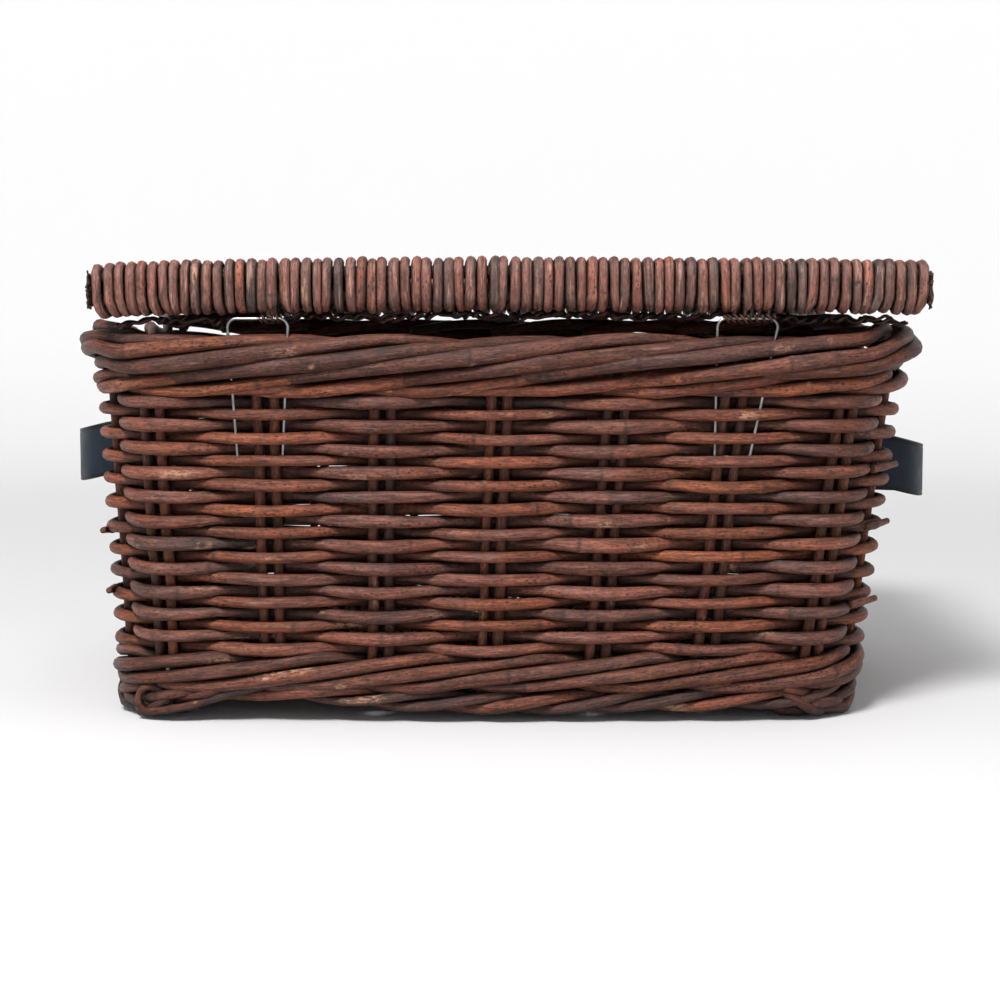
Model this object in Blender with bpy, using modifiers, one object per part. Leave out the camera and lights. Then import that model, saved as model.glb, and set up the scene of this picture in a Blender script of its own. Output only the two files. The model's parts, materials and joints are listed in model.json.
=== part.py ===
"""Wicker log basket: a tapered willow basket with strap handles and a lid on two wire hinges.

Metres, +Z up. The floor is z = 0, the origin is under the middle of the basket, +X runs along
the basket and -Y is the side that carries the hinges.

Upright pieces are laid out on a vertical-walled plan and then leaned outwards together by
lean(), so the walls, stakes, rings and hinge legs all follow the same taper, the slight sway
of a hand-made basket, and the rise towards its far side.
"""

import math

import bmesh
import bpy
from mathutils import Matrix, Vector

# Plan of the stakes at floor level
HALF_LENGTH = 0.2275
HALF_WIDTH = 0.147
CORNER_RADIUS = 0.046
LONG_BOW = 0.006
END_BOW = 0.004
LEAN = 0.080                     # how far each wall goes outwards per metre of height
SWAY = 0.040                     # how far the whole body goes to +X per metre of height
FAR_RISE = 0.0115                # how much higher the rim is on the far side, where the lid rests
WALL = 0.020                     # thickness of the weave at floor level
GAP = 0.0003                     # between pieces that touch

# Heights of the rings and the walls
FOOT_HEIGHT = 0.0065
FOOT_BORDER_TOP = 0.0202
BOTTOM_WALE_TOP = 0.0410
TOP_WALE_BOTTOM = 0.2078
TOP_WALE_TOP = 0.2178
RIM_TOP = 0.238
WALE_PROUD = 0.0015              # the wales stand out from the randing by this
RIM_OUTSIDE = 0.0195             # rim border outwards from the stakes
RIM_INSIDE = 0.007
FOOT_OUTSIDE = 0.0125
FOOT_INSIDE = 0.009
RIM_CHAMFER = 0.006
FOOT_CHAMFER = 0.003

# Stakes: each is one rod folded into a pair of uprights
STAKE_RADIUS = 0.00295
STAKE_SPREAD = 0.0047            # from the middle of the pair to each upright
LONG_STAKES = 7
LONG_SPACING = 0.0668
END_STAKES = 5
END_SPACING = 0.052
SLOT_ALONG = 0.0086              # half size of the slot that a pair stands in
SLOT_ACROSS = 0.0042

# Base
BASE_BOTTOM = 0.0245
BASE_TOP = 0.0385
BASE_STICKS = 5
BASE_STICK_RADIUS = 0.004
BASE_STICK_SPACING = 0.052
BASE_STICK_HALF = 0.2135

# Lid
LID_BOTTOM = 0.2505
LID_TOP = 0.2845
LID_HALF_LENGTH = 0.2472
LID_X = 0.0045                   # middle of the lid along X
LID_FAR = 0.1855
LID_OVERHANG = 0.007             # of the near edge beyond the hinge axis
LID_ROD = 0.005                  # thickness of the rods that wrap the edge sticks
LID_MIDDLE = 0.022               # thickness between the edges
LID_SHOULDER = 0.014             # length of the slope from the edge to the middle
EDGE_STICK_RADIUS = 0.005
LID_RIB_RADIUS = 0.0045
LID_RIBS = 4
STICK_FIT = 0.0004
END_BAR_THICKNESS = 0.0026
END_BAR_MARGIN = 0.014
END_BAR_ROUND = 0.0008

# Hinges
HINGE_PAIR = 2                   # stake pairs from the middle that each hinge straddles
HINGE_Z = 0.247
HINGE_OFFSET = 0.005             # outwards from the stakes
WIRE_RADIUS = 0.0011
WIRE_SPREAD = 0.0165             # half the width of the staple at floor level
WIRE_CORNER = 0.006
WIRE_BOTTOM = 0.163
LEG_HOLE = 0.0017
LASHING_HALF = 0.009
LASHING_BELT = 0.0024
LASHING_BAR_RADIUS = 0.0035
LASHING_BAR_FIT = 0.0004

# Strap handles
STRAP_Z = {"left": 0.165, "right": 0.155}
STRAP_WIDTH = 0.035
STRAP_THICKNESS = 0.003
STRAP_REACH = 0.2845             # middle of the strap at its outermost point
STRAP_HALF_SPAN = 0.078
STRAP_DROOP = 0.25
STRAP_SLOT = 0.0048
STRAP_FIT = 0.001                # room above and below the strap in its slots
STRAP_INSIDE = 0.0045            # from the inner face of the wall to the middle of the strap

FLAT_STEPS = 6
ARC_STEPS = 4
COLORS = {
    "willow_weave": ((0.20, 0.105, 0.075), 0.62, 0.0),
    "willow_stake": ((0.13, 0.07, 0.05), 0.60, 0.0),
    "willow_border": ((0.23, 0.12, 0.08), 0.60, 0.0),
    "willow_lid": ((0.19, 0.11, 0.09), 0.62, 0.0),
    "stripped_stick": ((0.07, 0.045, 0.035), 0.70, 0.0),
    "steel_wire": ((0.62, 0.61, 0.58), 0.32, 1.0),
    "strap_leather": ((0.012, 0.017, 0.024), 0.50, 0.0),
    "lashing": ((0.06, 0.035, 0.025), 0.75, 0.0),
}
# Half length, other half size and turn of each wall: front, right, back, left
SIDES = [(HALF_LENGTH, HALF_WIDTH, 0), (HALF_WIDTH, HALF_LENGTH, 1),
         (HALF_LENGTH, HALF_WIDTH, 2), (HALF_WIDTH, HALF_LENGTH, 3)]
SIDE_NAMES = ["front", "right", "back", "left"]


def clear_scene():
    for old in list(bpy.data.objects):
        bpy.data.objects.remove(old, do_unlink=True)


def new_collection(name):
    group = bpy.data.collections.new(name)
    bpy.context.scene.collection.children.link(group)
    return group


def make_materials():
    made = {}
    for name, (color, roughness, metallic) in COLORS.items():
        material = bpy.data.materials.new(name)
        material.use_nodes = True
        shader = material.node_tree.nodes["Principled BSDF"]
        shader.inputs["Base Color"].default_value = (*color, 1.0)
        shader.inputs["Roughness"].default_value = roughness
        shader.inputs["Metallic"].default_value = metallic
        material.diffuse_color = (*color, 1.0)
        made[name] = material
    return made


clear_scene()
PARTS = new_collection("wicker_log_basket")
CUTTERS = new_collection("cutters")
MATERIALS = make_materials()
LID_AXIS = bpy.data.objects.new("lid_axis", None)
PARTS.objects.link(LID_AXIS)


# ---------------------------------------------------------------- plan and taper

def lean(x, y, z):
    """The place, on the leaning walls, of a point of the vertical-walled plan."""
    sway = SWAY * (z - RIM_TOP)
    far_share = min(1.0, max(0.0, (1 + y / HALF_WIDTH) / 2))
    raised = z * (1 + FAR_RISE / RIM_TOP * far_share)
    return Vector((x * (1 + LEAN * z / HALF_LENGTH) + sway, y * (1 + LEAN * z / HALF_WIDTH), raised))


def plan_point(side, along, outwards=0.0):
    """A point of the plan, measured along one wall from its middle and outwards from the stakes."""
    half, depth, turn = SIDES[side]
    flat = half - CORNER_RADIUS
    if abs(along) <= flat:
        x = along
        y = -depth - outwards
    else:
        angle = (abs(along) - flat) / CORNER_RADIUS
        reach = CORNER_RADIUS + outwards
        x = math.copysign(flat + reach * math.sin(angle), along)
        y = -(depth - CORNER_RADIUS + reach * math.cos(angle))
    for _ in range(turn):
        x, y = -y, x
    bowed_x = x * (1 - END_BOW / HALF_LENGTH * (y / HALF_WIDTH) ** 2)
    bowed_y = y * (1 - LONG_BOW / HALF_WIDTH * (x / HALF_LENGTH) ** 2)
    return bowed_x, bowed_y


def wall_steps(side):
    """Distances along one wall, from the middle of one corner to the middle of the next."""
    flat = SIDES[side][0] - CORNER_RADIUS
    arc = CORNER_RADIUS * math.pi / 4
    first = [-flat - arc * (1 - i / ARC_STEPS) for i in range(ARC_STEPS)]
    middle = [flat * (2 * i / FLAT_STEPS - 1) for i in range(FLAT_STEPS + 1)]
    last = [flat + arc * i / ARC_STEPS for i in range(1, ARC_STEPS + 1)]
    return first + middle + last


def plan_loop(outwards):
    """The closed outline of the whole plan at one distance from the stakes."""
    return [plan_point(side, along, outwards) for side in range(4) for along in wall_steps(side)[:-1]]


def wall_outline(side, outside, inside):
    steps = wall_steps(side)
    outer = [plan_point(side, along, outside) for along in steps]
    inner = [plan_point(side, along, -inside) for along in reversed(steps)]
    return outer + inner


def pair_places(side):
    count, spacing = [(LONG_STAKES, LONG_SPACING), (END_STAKES, END_SPACING)][side % 2]
    return [(i - (count - 1) / 2) * spacing for i in range(count)]


def stake_slot(side, along):
    corners = [(-1, -1), (1, -1), (1, 1), (-1, 1)]
    return [plan_point(side, along + a * SLOT_ALONG, b * SLOT_ACROSS) for a, b in corners]


def stake_slots(sides):
    return [stake_slot(side, along) for side in sides for along in pair_places(side)]


# ---------------------------------------------------------------- object helpers

def finish(obj, material, moving=False, smooth=None):
    obj.data.materials.clear()
    obj.data.materials.append(MATERIALS[material])
    if smooth is not None:
        obj.data.shade_smooth()
        obj.data.set_sharp_from_angle(angle=math.radians(smooth))
    if moving:
        obj.parent = LID_AXIS
        obj.matrix_parent_inverse = LID_AXIS.matrix_world.inverted()
    return obj


def link_mesh(name, mesh, group=None):
    obj = bpy.data.objects.new(name, mesh)
    (group or PARTS).objects.link(obj)
    return obj


def flat_plate(name, outlines, height):
    """A flat outline with holes in it, as a mesh of the given height about z = 0."""
    data = bpy.data.curves.new(name, "CURVE")
    data.dimensions = "2D"
    data.fill_mode = "BOTH"
    data.extrude = height / 2
    for outline in outlines:
        spline = data.splines.new("POLY")
        spline.points.add(len(outline) - 1)
        for point, (x, y) in zip(spline.points, outline):
            point.co = (x, y, 0, 1)
        spline.use_cyclic_u = True
    guide = link_mesh(name + "_outline", data)
    depsgraph = bpy.context.evaluated_depsgraph_get()
    mesh = bpy.data.meshes.new_from_object(guide.evaluated_get(depsgraph))
    bpy.data.objects.remove(guide, do_unlink=True)
    shape = bmesh.new()
    shape.from_mesh(mesh)
    bmesh.ops.remove_doubles(shape, verts=shape.verts, dist=1e-6)
    bmesh.ops.recalc_face_normals(shape, faces=shape.faces)
    shape.to_mesh(mesh)
    shape.free()
    mesh.name = name
    return mesh


def upright_plate(name, outlines, bottom, top):
    """A plate of the plan between two heights, leaned with the walls."""
    mesh = flat_plate(name, outlines, top - bottom)
    for vertex in mesh.vertices:
        x, y, z = vertex.co
        vertex.co = lean(x, y, z + (top + bottom) / 2)
    return link_mesh(name, mesh)


def border_ring(name, bottom, top, inside, outside, chamfer):
    """A ring round the whole plan with a chamfered section, leaned with the walls."""
    section = [(outside, bottom + chamfer), (outside, top - chamfer), (outside - chamfer, top),
               (chamfer / 2 - inside, top), (-inside, top - chamfer / 2),
               (-inside, bottom + chamfer / 2), (chamfer / 2 - inside, bottom),
               (outside - chamfer, bottom)]
    loops = [[lean(x, y, z) for x, y in plan_loop(outwards)] for outwards, z in section]
    shape = bmesh.new()
    rows = [[shape.verts.new(point) for point in loop] for loop in loops]
    count = len(rows[0])
    for j, row in enumerate(rows):
        above = rows[(j + 1) % len(rows)]
        for i in range(count):
            k = (i + 1) % count
            shape.faces.new((row[i], row[k], above[k], above[i]))
    bmesh.ops.recalc_face_normals(shape, faces=shape.faces)
    mesh = bpy.data.meshes.new(name)
    shape.to_mesh(mesh)
    shape.free()
    return link_mesh(name, mesh)


def rod(name, points, radius, resolution=1):
    """A round rod along a list of points, with closed ends."""
    data = bpy.data.curves.new(name, "CURVE")
    data.dimensions = "3D"
    data.bevel_depth = radius
    data.bevel_resolution = resolution
    data.use_fill_caps = True
    spline = data.splines.new("POLY")
    spline.points.add(len(points) - 1)
    for target, point in zip(spline.points, points):
        target.co = (*point, 1)
    return link_mesh(name, data)


def box(name, low, high, group=None):
    shape = bmesh.new()
    bmesh.ops.create_cube(shape, size=1.0)
    size = Vector(high) - Vector(low)
    middle = (Vector(high) + Vector(low)) / 2
    bmesh.ops.transform(shape, matrix=Matrix.Translation(middle) @ Matrix.Diagonal((*size, 1)),
                        verts=shape.verts)
    mesh = bpy.data.meshes.new(name)
    shape.to_mesh(mesh)
    shape.free()
    return link_mesh(name, mesh, group)


def cut(obj, cutter):
    cutter.hide_render = True
    cutter.display_type = "WIRE"
    modifier = obj.modifiers.new(cutter.name, "BOOLEAN")
    modifier.operation = "DIFFERENCE"
    modifier.object = cutter
    modifier.solver = "EXACT"


def circle(y, z, radius, sides=12):
    turns = [2 * math.pi * (i + 0.5) / sides for i in range(sides)]
    return [(y + radius * math.cos(turn), z + radius * math.sin(turn)) for turn in turns]


def stick(name, place, radius, half_length, material, moving):
    """A straight round stick that lies along X."""
    shape = bmesh.new()
    bmesh.ops.create_cone(shape, cap_ends=True, segments=12, radius1=radius, radius2=radius,
                          depth=2 * half_length)
    bmesh.ops.rotate(shape, verts=shape.verts, matrix=Matrix.Rotation(math.pi / 2, 3, "Y"))
    bmesh.ops.translate(shape, verts=shape.verts, vec=place)
    mesh = bpy.data.meshes.new(name)
    shape.to_mesh(mesh)
    shape.free()
    return finish(link_mesh(name, mesh), material, moving, smooth=40)


def along_x(mesh, middle):
    """Turn a plate so that its outline lies in the Y-Z plane and its thickness along X."""
    for vertex in mesh.vertices:
        x, y, z = vertex.co
        vertex.co = (middle + z, x, y)
    return mesh


# ---------------------------------------------------------------- base and feet

def build_base():
    outline = plan_loop(-WALL / 2 - 2 * GAP)
    base = upright_plate("base_weave", [outline], BASE_BOTTOM, BASE_TOP)
    finish(base, "willow_weave")
    z = (BASE_BOTTOM + BASE_TOP) / 2
    room = BASE_STICK_RADIUS + 2 * GAP
    middle = lean(0, 0, z).x
    for i in range(BASE_STICKS):
        y = (i - (BASE_STICKS - 1) / 2) * BASE_STICK_SPACING
        channel = box(f"base_channel_{i + 1}", (middle - HALF_LENGTH, y - room, z - room),
                      (middle + HALF_LENGTH, y + room, z + room), CUTTERS)
        cut(base, channel)
        stick(f"base_stick_{i + 1}", (middle, y, z), BASE_STICK_RADIUS, BASE_STICK_HALF,
              "stripped_stick", False)


def build_feet():
    border = border_ring("foot_border", FOOT_HEIGHT, FOOT_BORDER_TOP, FOOT_INSIDE, FOOT_OUTSIDE,
                         FOOT_CHAMFER)
    finish(border, "willow_border")
    arc = CORNER_RADIUS * math.pi / 2
    for side in range(4):
        flat = SIDES[side][0] - CORNER_RADIUS
        steps = [flat - 0.012] + [flat + arc * i / 8 for i in range(9)] + [flat + arc + 0.012]
        outer = [plan_point(side, along, FOOT_OUTSIDE - FOOT_CHAMFER) for along in steps]
        inner = [plan_point(side, along, FOOT_CHAMFER - FOOT_INSIDE) for along in reversed(steps)]
        foot = upright_plate(f"corner_foot_{side + 1}", [outer + inner], 0, FOOT_HEIGHT - GAP)
        finish(foot, "willow_border")


# ---------------------------------------------------------------- walls

def leg_places():
    """Plan positions of the four hinge legs."""
    middle = HINGE_PAIR * LONG_SPACING
    y = plan_point(0, middle, HINGE_OFFSET)[1]
    return [(sign * middle + spread, y) for sign in (-1, 1) for spread in (-WIRE_SPREAD, WIRE_SPREAD)]


def leg_holes():
    corners = [(-1, -1), (1, -1), (1, 1), (-1, 1)]
    return [[(x + a * LEG_HOLE, y + b * LEG_HOLE) for a, b in corners] for x, y in leg_places()]


def build_walls():
    half = WALL / 2
    for side, name in enumerate(SIDE_NAMES):
        holes = stake_slots([side]) + (leg_holes() if side == 0 else [])
        outline = wall_outline(side, half, half)
        trimmed = trim_ends(outline)
        wall = upright_plate(f"side_weave_{name}", [trimmed] + holes, BOTTOM_WALE_TOP + GAP,
                             TOP_WALE_BOTTOM - GAP)
        finish(wall, "willow_weave")
        if side % 2:
            for end in (-1, 1):
                y = end * STRAP_HALF_SPAN
                reach = (0.20, 0.30) if side == 1 else (-0.30, -0.20)
                low = STRAP_Z[name] - STRAP_WIDTH / 2 - STRAP_FIT
                high = STRAP_Z[name] + STRAP_WIDTH / 2 + STRAP_FIT
                slot = box(f"strap_slot_{name}_{'near' if end < 0 else 'far'}",
                           (reach[0], y - STRAP_SLOT / 2, low), (reach[1], y + STRAP_SLOT / 2, high),
                           CUTTERS)
                cut(wall, slot)


def trim_ends(outline):
    """Draw the two ends of a wall back from the corner, so that two walls keep a gap."""
    count = len(outline) // 2
    points = [Vector(point) for point in outline]
    for end, inward in ((0, 1), (count - 1, -1), (count, 1), (2 * count - 1, -1)):
        step = points[(end + inward) % len(points)] - points[end]
        points[end] = points[end] + step.normalized() * GAP
    return [tuple(point) for point in points]


def build_wales():
    bands = [("bottom_wale", FOOT_BORDER_TOP + GAP, BOTTOM_WALE_TOP, []),
             ("top_wale", TOP_WALE_BOTTOM, TOP_WALE_TOP, leg_holes())]
    for name, bottom, top, holes in bands:
        outer = plan_loop(WALL / 2 + WALE_PROUD)
        inner = plan_loop(-WALL / 2)
        wale = upright_plate(name, [outer, inner] + stake_slots(range(4)) + holes, bottom, top)
        finish(wale, "willow_border")


def build_rim():
    rim = border_ring("rim_border", TOP_WALE_TOP + GAP, RIM_TOP, RIM_INSIDE, RIM_OUTSIDE,
                      RIM_CHAMFER)
    finish(rim, "willow_border")
    for i, hole in enumerate(leg_holes()):
        cutter = upright_plate(f"leg_cutter_{i + 1}", [hole], TOP_WALE_TOP - 0.004, RIM_TOP + 0.004)
        PARTS.objects.unlink(cutter)
        CUTTERS.objects.link(cutter)
        cut(rim, cutter)


def build_stakes():
    number = 0
    bottom = FOOT_BORDER_TOP + 4 * GAP + STAKE_RADIUS + STAKE_SPREAD
    top = TOP_WALE_TOP - GAP
    bend = [math.pi * i / 6 for i in range(7)]
    for side in range(4):
        for along in pair_places(side):
            number += 1
            fold = [(along - STAKE_SPREAD * math.cos(a), bottom - STAKE_SPREAD * math.sin(a))
                    for a in bend]
            route = [(along - STAKE_SPREAD, top)] + fold + [(along + STAKE_SPREAD, top)]
            points = [lean(*plan_point(side, place), z) for place, z in route]
            finish(rod(f"stake_{number:02d}", points, STAKE_RADIUS), "willow_stake")


# ---------------------------------------------------------------- hinges

def hinge_axis_y():
    return lean(*leg_places()[0], HINGE_Z).y


def build_hinge_wires():
    legs = leg_places()
    turns = [math.pi / 2 * i / 4 for i in range(5)]
    for name, (left, right) in (("left", legs[:2]), ("right", legs[2:])):
        drop = HINGE_Z - WIRE_CORNER
        left_top = lean(*left, drop)
        right_top = lean(*right, drop)
        y = hinge_axis_y()
        first = [(left_top.x + WIRE_CORNER * (1 - math.cos(a)), y, drop + WIRE_CORNER * math.sin(a))
                 for a in turns]
        second = [(right_top.x - WIRE_CORNER * (1 - math.cos(a)), y, drop + WIRE_CORNER * math.sin(a))
                  for a in reversed(turns)]
        points = [lean(*left, WIRE_BOTTOM)] + first + second + [lean(*right, WIRE_BOTTOM)]
        finish(rod(f"hinge_wire_{name}", points, WIRE_RADIUS), "steel_wire")


def near_stick_y():
    return hinge_axis_y() - LID_OVERHANG + EDGE_STICK_RADIUS + LID_ROD


def lashing_places():
    return [(name, lean(sign * HINGE_PAIR * LONG_SPACING, 0, HINGE_Z).x)
            for name, sign in (("left", -1), ("right", 1))]


def build_lashings():
    """A lashing holds the lid's lower near stick to the straight bar of each wire."""
    stick_y = near_stick_y()
    stick_z = LID_BOTTOM + LID_ROD + EDGE_STICK_RADIUS
    stick_room = EDGE_STICK_RADIUS + GAP
    belt = stick_room + LASHING_BELT
    bar_y = hinge_axis_y()
    span = Vector((stick_y - bar_y, stick_z - HINGE_Z))
    tilt = math.atan2(span.y, span.x)
    open_angle = math.acos((belt - LASHING_BAR_RADIUS) / span.length)
    upper = [tilt - open_angle + 2 * open_angle * i / 14 for i in range(15)]
    lower_span = 2 * math.pi - 2 * open_angle
    lower = [tilt + open_angle + lower_span * i / 8 for i in range(9)]
    outline = [(stick_y + belt * math.cos(a), stick_z + belt * math.sin(a)) for a in upper]
    outline += [(bar_y + LASHING_BAR_RADIUS * math.cos(a), HINGE_Z + LASHING_BAR_RADIUS * math.sin(a))
                for a in lower]
    holes = [circle(stick_y, stick_z, stick_room, 16),
             circle(bar_y, HINGE_Z, WIRE_RADIUS + LASHING_BAR_FIT, 10)]
    for name, x in lashing_places():
        plate = flat_plate(f"hinge_lashing_{name}", [outline] + holes, 2 * LASHING_HALF)
        finish(link_mesh(plate.name, along_x(plate, x)), "lashing", moving=True)
    return stick_y + belt, stick_z + belt


# ---------------------------------------------------------------- lid

def edge_arc(y, z, start, end):
    """A quarter round of the lid's edge, where the rods wrap an edge stick."""
    reach = EDGE_STICK_RADIUS + LID_ROD
    turns = [math.radians(start + (end - start) * i / 5) for i in range(6)]
    return [(y + reach * math.cos(turn), z + reach * math.sin(turn)) for turn in turns]


def lid_outline(near, far, low, high):
    middle_low = (LID_BOTTOM + LID_TOP - LID_MIDDLE) / 2
    middle_high = middle_low + LID_MIDDLE
    return (edge_arc(near, high, 90, 180) + edge_arc(near, low, 180, 270)
            + [(near + LID_SHOULDER / 2, LID_BOTTOM), (near + 1.5 * LID_SHOULDER, middle_low)]
            + [(far - 1.5 * LID_SHOULDER, middle_low), (far - LID_SHOULDER / 2, LID_BOTTOM)]
            + edge_arc(far, low, -90, 0) + edge_arc(far, high, 0, 90)
            + [(far - LID_SHOULDER / 2, LID_TOP), (far - 1.5 * LID_SHOULDER, middle_high)]
            + [(near + 1.5 * LID_SHOULDER, middle_high), (near + LID_SHOULDER / 2, LID_TOP)])


def build_lid(notch_y, notch_z):
    near = near_stick_y()
    far = LID_FAR - EDGE_STICK_RADIUS - LID_ROD
    low = LID_BOTTOM + LID_ROD + EDGE_STICK_RADIUS
    high = LID_TOP - LID_ROD - EDGE_STICK_RADIUS
    rib_z = (LID_BOTTOM + LID_TOP) / 2
    edges = [("near", "lower", near, low), ("near", "upper", near, high),
             ("far", "lower", far, low), ("far", "upper", far, high)]
    ribs = [near + (far - near) * (i + 1) / (LID_RIBS + 1) for i in range(LID_RIBS)]
    holes = [circle(y, z, EDGE_STICK_RADIUS + STICK_FIT) for _, _, y, z in edges]
    holes += [circle(y, rib_z, LID_RIB_RADIUS + STICK_FIT) for y in ribs]
    outline = lid_outline(near, far, low, high)
    mesh = along_x(flat_plate("lid_weave", [outline] + holes, 2 * LID_HALF_LENGTH), LID_X)
    weave = finish(link_mesh("lid_weave", mesh), "willow_lid", moving=True)
    for edge, level, y, z in edges:
        stick(f"lid_{edge}_stick_{level}", (LID_X, y, z), EDGE_STICK_RADIUS, LID_HALF_LENGTH,
              "stripped_stick", True)
    for i, y in enumerate(ribs):
        stick(f"lid_rib_{i + 1}", (LID_X, y, rib_z), LID_RIB_RADIUS, LID_HALF_LENGTH,
              "stripped_stick", True)
    for name, x in lashing_places():
        half = LASHING_HALF + GAP
        notch = box(f"lashing_notch_{name}", (x - half, near - 0.02, LID_BOTTOM - 0.01),
                    (x + half, notch_y + GAP, notch_z + GAP), CUTTERS)
        cut(weave, notch)
    build_end_bars(near, far)


def build_end_bars(near, far):
    middle = (LID_BOTTOM + LID_TOP) / 2
    inner = LID_HALF_LENGTH + GAP
    outer = inner + END_BAR_THICKNESS
    for name, low, high in (("left", LID_X - outer, LID_X - inner),
                            ("right", LID_X + inner, LID_X + outer)):
        bar = box(f"lid_end_bar_{name}", (low, near - END_BAR_MARGIN / 2, middle - LID_MIDDLE / 2),
                  (high, far + END_BAR_MARGIN / 2, middle + LID_MIDDLE / 2))
        edge = bar.modifiers.new("rounded_edges", "BEVEL")
        edge.width = END_BAR_ROUND
        edge.segments = 2
        finish(bar, "stripped_stick", moving=True)


# ---------------------------------------------------------------- handles

def strap_loop(sign, z):
    """The middle line of a strap in plan: out round the hand, in through the wall and back."""
    inner_face = abs(lean(sign * (HALF_LENGTH - WALL / 2), 0, z - STRAP_WIDTH / 2).x)
    inside = inner_face - STRAP_INSIDE
    wall = abs(lean(sign * (HALF_LENGTH + WALL / 2), 0, z).x)
    turns = [math.pi * (i / 16 - 0.5) for i in range(17)]
    hand = [(wall + 0.004 + (STRAP_REACH - wall - 0.004) * math.cos(t), STRAP_HALF_SPAN * math.sin(t))
            for t in turns]
    corner = 0.004
    back = [(inside + corner, STRAP_HALF_SPAN), (inside + 0.3 * corner, STRAP_HALF_SPAN - 0.3 * corner),
            (inside, STRAP_HALF_SPAN - corner), (inside, 0)]
    mirrored = [(x, -y) for x, y in reversed(back[:-1])]
    return hand + back + mirrored, wall


def build_handles():
    for name, sign in (("left", -1), ("right", 1)):
        loop, wall = strap_loop(sign, STRAP_Z[name])
        shape = bmesh.new()
        rows = []
        for level in (-STRAP_WIDTH / 2, STRAP_WIDTH / 2):
            row = []
            for x, y in loop:
                droop = STRAP_DROOP * max(0.0, x - wall)
                row.append(shape.verts.new((sign * x, y, STRAP_Z[name] + level - droop)))
            rows.append(row)
        count = len(loop)
        for i in range(count):
            k = (i + 1) % count
            shape.faces.new((rows[0][i], rows[0][k], rows[1][k], rows[1][i]))
        bmesh.ops.recalc_face_normals(shape, faces=shape.faces)
        mesh = bpy.data.meshes.new(f"handle_{name}")
        shape.to_mesh(mesh)
        shape.free()
        strap = link_mesh(mesh.name, mesh)
        leather = strap.modifiers.new("leather", "SOLIDIFY")
        leather.thickness = STRAP_THICKNESS
        leather.offset = 0
        finish(strap, "strap_leather")


LID_AXIS.location = (0, hinge_axis_y(), HINGE_Z)
bpy.context.view_layer.update()
build_base()
build_feet()
build_walls()
build_wales()
build_rim()
build_stakes()
build_hinge_wires()
build_lid(*build_lashings())
build_handles()
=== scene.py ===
"""Looks of the wicker log basket: every willow rod, wire, strap and lashing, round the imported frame.

Metres, +Z up. -Y is the side that carries the hinges, and the camera looks at that side.
"""

import json
import math

import bpy
import numpy as np
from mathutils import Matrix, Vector


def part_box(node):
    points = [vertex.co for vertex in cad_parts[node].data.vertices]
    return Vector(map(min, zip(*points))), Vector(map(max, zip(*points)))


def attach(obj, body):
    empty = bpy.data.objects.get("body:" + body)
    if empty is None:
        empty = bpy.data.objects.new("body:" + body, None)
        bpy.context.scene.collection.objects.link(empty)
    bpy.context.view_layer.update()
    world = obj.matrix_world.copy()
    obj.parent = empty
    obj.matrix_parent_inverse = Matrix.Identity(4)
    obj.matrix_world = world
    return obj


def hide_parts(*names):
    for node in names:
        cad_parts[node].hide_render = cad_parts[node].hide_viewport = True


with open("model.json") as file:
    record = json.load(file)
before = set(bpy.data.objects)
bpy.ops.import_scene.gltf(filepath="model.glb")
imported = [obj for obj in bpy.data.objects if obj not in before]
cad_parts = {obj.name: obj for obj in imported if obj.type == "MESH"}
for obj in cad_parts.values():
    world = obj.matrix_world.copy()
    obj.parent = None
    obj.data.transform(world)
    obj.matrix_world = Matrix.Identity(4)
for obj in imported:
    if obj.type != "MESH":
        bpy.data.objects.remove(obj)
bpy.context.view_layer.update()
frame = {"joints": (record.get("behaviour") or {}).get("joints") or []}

RANDOM = np.random.default_rng(7)

# The basket's plan at floor level, measured on the line of the stakes, and its taper
HALF_LENGTH = 0.2275
HALF_WIDTH = 0.147
CORNER_RADIUS = 0.046
LONG_BOW = 0.006
END_BOW = 0.004
LEAN = 0.080
SWAY = 0.040
FAR_RISE = 0.0115
RIM_TOP = 0.238
LONG_PAIRS, LONG_SPACING = 7, 0.0668
END_PAIRS, END_SPACING = 5, 0.052

# Walls
STAKE_RADIUS = 0.0033
STAKE_SPREAD = 0.0046
ROWS = 23
ROW_BOTTOM = 0.0460
ROW_PITCH = 0.00722
WEAVER_RADIUS = 0.0035           # where a weaver crosses between two pairs
THICK_SWELL, THIN_SWELL = 0.24, 0.03
WEAVE_DEPTH = 0.0072             # how far a weaver swings to each side of the stakes
TOP_WALE_Z = 0.2085
TOP_WALE_RISE = 0.0100
BOTTOM_WALE_Z = 0.0312
BOTTOM_WALE_RISE = 0.0190
WALE_DEPTH = 0.0076              # how far a wale rod swings to each side of the stakes
WEAVER_OVERLAP = 0.22            # part of a space between two pairs by which a rod runs past its last pair
TUCK = 0.0045                    # how far the end of a weaver is tucked inwards
RIM_RADIUS = 0.0044
RIM_CLEAR_Y = -0.168             # the open lid passes over the rim on the near side of this
FOOT_RADIUS = 0.0036

# Lid
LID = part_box("lid_weave")
LID_X = (LID[0].x + LID[1].x) / 2
LID_HALF = (LID[1].x - LID[0].x) / 2
LID_LOOPS = 76
LID_ROD = 0.0031
LID_DROOP = 0.0030
LID_GROUPS = 4                   # meshes that the lid's loops are gathered into
EDGE_REACH = 0.0095              # from the middle of an edge stick to the outside of the loops
EDGE_STICK_RADIUS = 0.0042
RIB_RADIUS = 0.0044

# Base
BASE_STICKS = 5
BASE_STICK_RADIUS = 0.0040
MAT_PITCH, MAT_RADIUS = 0.0062, 0.0029
MAT_SWING = 0.0040               # how far a rod of the mat passes above or below a stick
MAT_CORNER_X, MAT_CORNER_Y = 0.036, 0.034

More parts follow.
